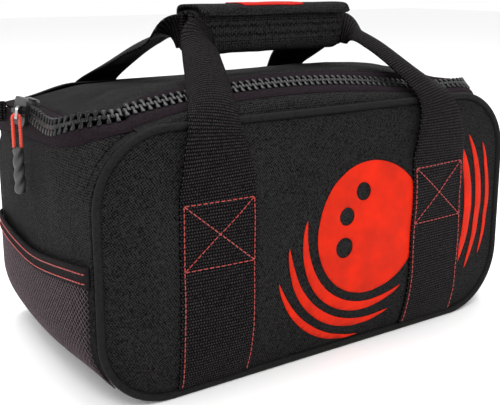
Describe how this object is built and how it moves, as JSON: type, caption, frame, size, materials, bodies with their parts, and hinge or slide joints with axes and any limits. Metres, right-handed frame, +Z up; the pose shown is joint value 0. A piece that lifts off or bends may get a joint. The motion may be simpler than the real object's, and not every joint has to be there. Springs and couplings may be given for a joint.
{
  "type": "zip-top carry bag",
  "caption": "Padded black zip-top bag with piped rounded panels, webbing handles in a wrapped grip, end mesh pockets and a corded zip pull.",
  "frame": {"origin": "middle of the base, on the surface the bag stands on", "axes": "+X along the bag to its right end, -Y towards the front panel, +Z up"},
  "size_m": [0.44, 0.26, 0.2867],
  "materials": {
    "shell": "woven polyester, matt",
    "gusset": "woven nylon, matt",
    "piping": "fabric-covered welt, matt",
    "foam": "closed-cell foam, matt",
    "lining": "plain polyester, matt",
    "board": "stiff board",
    "webbing": "ribbed webbing, slight sheen",
    "tape": "woven zip tape",
    "teeth": "moulded teeth, glossy",
    "mesh": "open mesh",
    "binding": "folded binding",
    "wrap": "padded fabric",
    "hook": "hook-and-loop tape",
    "label": "woven label",
    "print": "heat-transfer film, satin",
    "slider": "dark gunmetal",
    "tab": "gunmetal plate",
    "cord": "braided cord",
    "grip": "moulded twist"
  },
  "bodies": {
    "bag": {"front_panel": "shell", "front_foam": "foam", "back_panel": "shell", "back_foam": "foam", "front_piping": "piping", "back_piping": "piping", "left_end_panel": "gusset", "right_end_panel": "gusset", "base_panel": "gusset", "front_top_strip": "gusset", "rear_top_strip": "gusset", "left_end_foam": "foam", "right_end_foam": "foam", "base_board": "board", "lining": "lining", "zip_tape_body": "tape", "zip_chain_body": "teeth", "zip_end_tab_left": "tape", "zip_end_tab_right": "tape", "front_strap_left": "webbing", "front_strap_right": "webbing", "back_strap_left": "webbing", "back_strap_right": "webbing", "left_pocket_mesh": "mesh", "right_pocket_mesh": "mesh", "left_pocket_binding": "binding", "right_pocket_binding": "binding", "front_print": "print"},
    "lid": {"lid_panel": "gusset", "lid_foam": "foam", "lid_lining": "lining", "zip_tape_lid": "tape", "zip_chain_lid": "teeth"},
    "front_handle": {"front_handle_leg_left": "webbing", "front_handle_leg_right": "webbing", "front_handle_bundle": "webbing"},
    "back_handle": {"back_handle_leg_left": "webbing", "back_handle_leg_right": "webbing", "back_handle_bundle": "webbing", "grip_wrap": "wrap", "loop_strip": "hook"},
    "flap": {"grip_flap": "wrap", "hook_strip": "hook", "grip_label": "label"},
    "slider": {"zip_slider": "slider", "slider_bail": "slider"},
    "tab": {"pull_tab": "tab"},
    "pull": {"pull_cord": "cord", "pull_grip": "grip"}
  },
  "joints": [
    {"name": "lid_open", "type": "hinge", "parent": "bag", "child": "lid", "pos_m": [0, 0.0968, 0.2125], "axis": [-1, 0, 0], "range_deg": [0, 100], "deforming": ["zip_chain_lid", "zip_tape_lid"]},
    {"name": "front_handle_drop", "type": "hinge", "parent": "bag", "child": "front_handle", "pos_m": [0, -0.1165, 0.209], "axis": [1, 0, 0], "range_deg": [0, 182], "deforming": ["grip_wrap"]},
    {"name": "back_handle_drop", "type": "hinge", "parent": "bag", "child": "back_handle", "pos_m": [0, 0.1165, 0.209], "axis": [-1, 0, 0], "range_deg": [0, 182], "deforming": ["grip_wrap"]},
    {"name": "grip_flap_open", "type": "hinge", "parent": "back_handle", "child": "flap", "pos_m": [0, 0.004, 0.2825], "axis": [-1, 0, 0], "range_deg": [0, 150]},
    {"name": "zip_slide", "type": "slide", "parent": "bag", "child": "slider", "axis": [0, -1, 0], "range_m": [0, 0.045], "deforming": ["zip_chain_lid", "zip_chain_body"]},
    {"name": "tab_flip", "type": "hinge", "parent": "slider", "child": "tab", "pos_m": [-0.20839, 0.022, 0.20432], "axis": [-0.1737, 0, -0.9848], "range_deg": [0, 110]},
    {"name": "pull_swing", "type": "hinge", "parent": "tab", "child": "pull", "pos_m": [-0.21466, 0.00584, 0.20264], "axis": [0.3368, 0.9397, -0.0594], "range_deg": [0, 24]}
  ],
  "couplings": [
    {"joint": "front_handle_drop", "follows": "lid_open", "ratio": 1.8},
    {"joint": "back_handle_drop", "follows": "lid_open", "ratio": 1.8}
  ]
}
